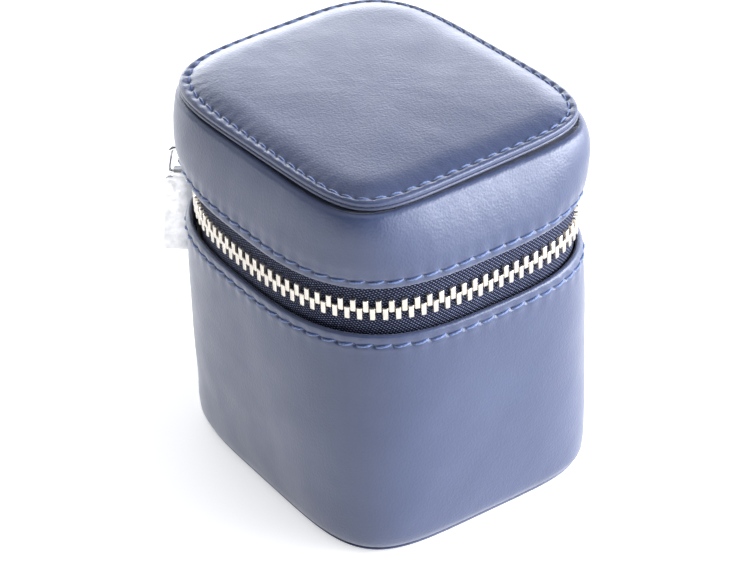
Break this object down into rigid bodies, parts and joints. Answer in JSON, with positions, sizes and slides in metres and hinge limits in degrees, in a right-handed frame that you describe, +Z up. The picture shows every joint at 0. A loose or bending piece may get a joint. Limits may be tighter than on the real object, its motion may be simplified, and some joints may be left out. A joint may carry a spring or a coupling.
{
  "type": "zip-around earbuds travel case",
  "caption": "Soft leather zip-around cube case for wireless earbuds, with a hinged padded lid, lined inside, metal zip and hanging pull tab.",
  "frame": {"origin": "centre of the flat leather base, on the surface that it stands on", "axes": "+Z up through the lid, -Y the front, +Y the hinge side with the strap, -X the left side, towards the closed zip's slider"},
  "size_m": [0.0646, 0.0763, 0.077],
  "materials": {
    "outer_leather": "smooth navy leather, semi-gloss, very fine grain",
    "edge_leather": "folded navy leather edge, semi-gloss",
    "stitching": "blue sewing thread, satin",
    "lining_cloth": "dark plain lining, matt",
    "padding": "soft padding, matt, unseen",
    "stiffener": "thin stiffening board, matt, unseen",
    "zip_tape": "near-black navy herringbone tape, matt",
    "zip_teeth": "bright polished teeth",
    "zip_slider": "polished nickel",
    "pull_metal": "mirror-polished nickel"
  },
  "bodies": {
    "case_body": {"base_board": "stiffener", "base_cushion": "padding", "base_leather_panel": "outer_leather", "body_edge_thread": "stitching", "body_leather_wall": "outer_leather", "body_lining": "lining_cloth", "body_wall_board": "stiffener", "body_wall_foam": "padding", "hinge_lining": "lining_cloth", "hinge_strap": "outer_leather", "lower_tooth_row": "zip_teeth", "lower_zip_tape": "zip_tape", "zip_end_stop": "zip_teeth"},
    "lid": {"lid_edge_thread": "stitching", "lid_leather_wall": "outer_leather", "lid_lining": "lining_cloth", "lid_top_board": "stiffener", "lid_top_foam": "padding", "lid_top_panel": "outer_leather", "lid_top_thread": "stitching", "lid_top_welt": "edge_leather", "lid_wall_board": "stiffener", "lid_wall_foam": "padding", "upper_tooth_row": "zip_teeth", "upper_zip_tape": "zip_tape"},
    "slider": {"slider_body": "zip_slider"},
    "link": {"pull_link": "pull_metal"},
    "tab": {"pull_tab": "pull_metal"}
  },
  "joints": [
    {"name": "lid_hinge", "type": "hinge", "parent": "case_body", "child": "lid", "pos_m": [0, 0.03393, 0.053], "axis": [-1, 0, 0], "range_deg": [0, 110]},
    {"name": "slider_run", "type": "hinge", "parent": "case_body", "child": "slider", "pos_m": [-0.01003, 0.01462, 0.053], "axis": [0, 0, 1], "range_deg": [0, 12]},
    {"name": "link_swing", "type": "hinge", "parent": "slider", "child": "link", "pos_m": [-0.0202, 0.03625, 0.0539], "axis": [0.905, 0.4255, 0], "range_deg": [0, 36]},
    {"name": "tab_swing", "type": "hinge", "parent": "link", "child": "tab", "pos_m": [-0.02108, 0.03684, 0.05029], "axis": [0.8263, -0.5535, -0.1045], "range_deg": [0, 30]}
  ]
}
